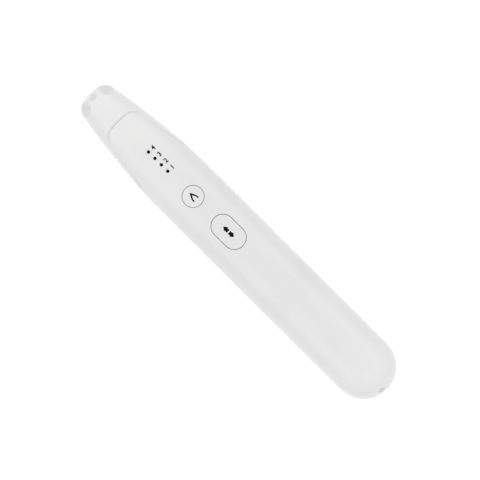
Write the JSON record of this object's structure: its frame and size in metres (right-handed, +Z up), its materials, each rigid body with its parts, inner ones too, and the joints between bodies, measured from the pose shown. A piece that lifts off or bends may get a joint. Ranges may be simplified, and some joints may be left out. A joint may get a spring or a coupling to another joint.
{
  "type": "microchip scanner",
  "caption": "Slim round-ended wand that reads pet microchips: stepped nose with a scalloped tip, a row of lamps, a round scan key, a rocking mode key and a charging socket in the tail.",
  "frame": {"origin": "middle of the underside on the surface the wand lies on, at half its length", "axes": "+X along the wand towards the tail, the reading tip points to -X, +Z up out of the key face, +Y completes the frame"},
  "size_m": [0.1697, 0.0266, 0.0211],
  "materials": {
    "case_plastic": "fine satin moulding",
    "key_plastic": "fine satin moulding",
    "silicone": "matt",
    "smoked_plastic": "polished",
    "lamp_resin": "clear yellow",
    "board": "solder mask",
    "chip_plastic": "moulded, matt",
    "natural_plastic": "natural nylon",
    "ferrite": "sintered",
    "copper": "enamelled copper wire",
    "steel": "bright",
    "foil": "laminated pouch",
    "foam": "open-cell foam",
    "amber_film": "polyimide film",
    "red_sleeve": "wire insulation",
    "black_sleeve": "wire insulation"
  },
  "bodies": {
    "casing": {"upper_shell": "case_plastic", "lower_shell": "case_plastic", "nose_cap": "case_plastic", "seam_seal": "silicone", "mode_key_pin": "steel", "scan_dome": "steel", "mode_dome_front": "steel", "mode_dome_rear": "steel", "light_guide": "smoked_plastic", "lamp_4": "lamp_resin", "lamp_3": "lamp_resin", "lamp_2": "lamp_resin", "lamp_1": "lamp_resin", "main_board": "board", "reader_chip": "chip_plastic", "processor_chip": "chip_plastic", "crystal_can": "steel", "charger_chip": "chip_plastic", "radio_module": "board", "radio_shield": "steel", "buzzer": "chip_plastic", "ferrite_rod": "ferrite", "coil_bobbin": "natural_plastic", "antenna_winding": "copper", "rod_cradle": "natural_plastic", "tuning_capacitor": "natural_plastic", "antenna_lead_start": "copper", "antenna_lead_end": "copper", "antenna_plug": "natural_plastic", "antenna_header": "natural_plastic", "battery_cell": "foil", "battery_foam": "foam", "protection_board": "board", "battery_lead_positive": "red_sleeve", "battery_lead_negative": "black_sleeve", "battery_plug": "natural_plastic", "battery_header": "natural_plastic", "charge_lamp": "lamp_resin", "charge_window": "natural_plastic", "charge_flex": "amber_film", "flex_header": "natural_plastic", "socket_board": "board", "socket_sleeve": "steel", "socket_tongue": "chip_plastic", "case_screw_front_left": "steel", "case_screw_front_right": "steel", "case_screw_rear_left": "steel", "case_screw_rear_right": "steel", "board_screw_1": "steel", "board_screw_2": "steel", "board_screw_3": "steel"},
    "scan_button": {"scan_key": "key_plastic"},
    "mode_rocker": {"mode_key": "key_plastic"}
  },
  "joints": [
    {"name": "scan_press", "type": "slide", "parent": "casing", "child": "scan_button", "axis": [0, 0, -1], "range_m": [0, 0.0003], "stiffness_N_per_m": 900, "deforming": ["scan_dome"]},
    {"name": "mode_rock", "type": "hinge", "parent": "casing", "child": "mode_rocker", "pos_m": [-0.0053, 0, 0.0183], "axis": [0, 1, 0], "range_deg": [-3, 3], "stiffness_Nm_per_rad": 0.12, "deforming": ["mode_dome_front", "mode_dome_rear"]}
  ]
}
